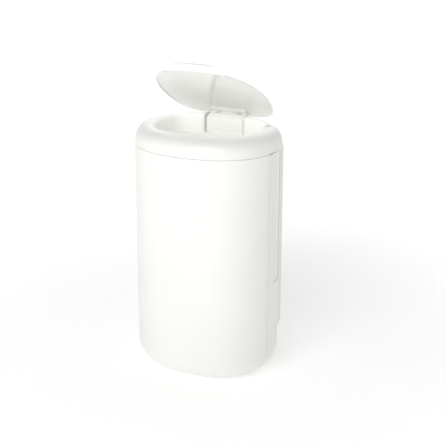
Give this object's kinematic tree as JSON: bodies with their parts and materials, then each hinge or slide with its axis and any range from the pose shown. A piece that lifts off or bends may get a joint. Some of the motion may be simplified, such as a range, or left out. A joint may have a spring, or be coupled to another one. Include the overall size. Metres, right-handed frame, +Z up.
{
  "type": "waste bin",
  "caption": "Small upright washroom waste bin with a rounded collar, a domed flap lid standing open, a bag ring, a key lock and a wall plate behind.",
  "frame": {"origin": "on the floor, under the middle of the bin's plan", "axes": "+Z up, the front faces -Y, +X to the right seen from the front"},
  "size_m": [0.189, 0.1656, 0.4122],
  "materials": {
    "shell_white": "satin moulded plastic",
    "collar_white": "gloss moulded plastic",
    "lid_white": "gloss moulded plastic",
    "inner_white": "matt moulded plastic",
    "plate_white": "matt moulded plastic",
    "steel": "zinc plated steel",
    "rubber": "soft rubber"
  },
  "bodies": {
    "bin": {"front_shell": "shell_white", "back_shell": "shell_white", "shell_screws": "steel", "rubber_feet": "rubber"},
    "plate": {"wall_plate": "plate_white"},
    "collar": {"rim_collar": "collar_white", "collar_pins": "steel", "hinge_block": "collar_white", "block_screws": "steel", "friction_leaf": "steel", "lid_rod": "steel", "ring_pins": "steel"},
    "lid": {"lid": "lid_white"},
    "ring": {"bag_ring": "inner_white"},
    "lock": {"lock_barrel": "steel", "lock_cam": "steel", "cam_screw": "steel"}
  },
  "joints": [
    {"name": "lid_hinge", "type": "hinge", "parent": "collar", "child": "lid", "pos_m": [0, 0.06275, 0.3206], "axis": [-1, 0, 0], "range_deg": [-34, 10]},
    {"name": "collar_hinge", "type": "hinge", "parent": "bin", "child": "collar", "pos_m": [0, 0.064, 0.314], "axis": [-1, 0, 0], "range_deg": [0, 70]},
    {"name": "bag_ring_hinge", "type": "hinge", "parent": "collar", "child": "ring", "pos_m": [0, 0.05675, 0.2966], "axis": [1, 0, 0], "range_deg": [0, 60]},
    {"name": "lock_turn", "type": "hinge", "parent": "collar", "child": "lock", "pos_m": [0.071, 0.02035, 0.3], "axis": [0, 0, 1], "range_deg": [0, 90]},
    {"name": "plate_lift_off", "type": "slide", "parent": "bin", "child": "plate", "axis": [0, 0, -1], "range_m": [0, 0.012]}
  ]
}
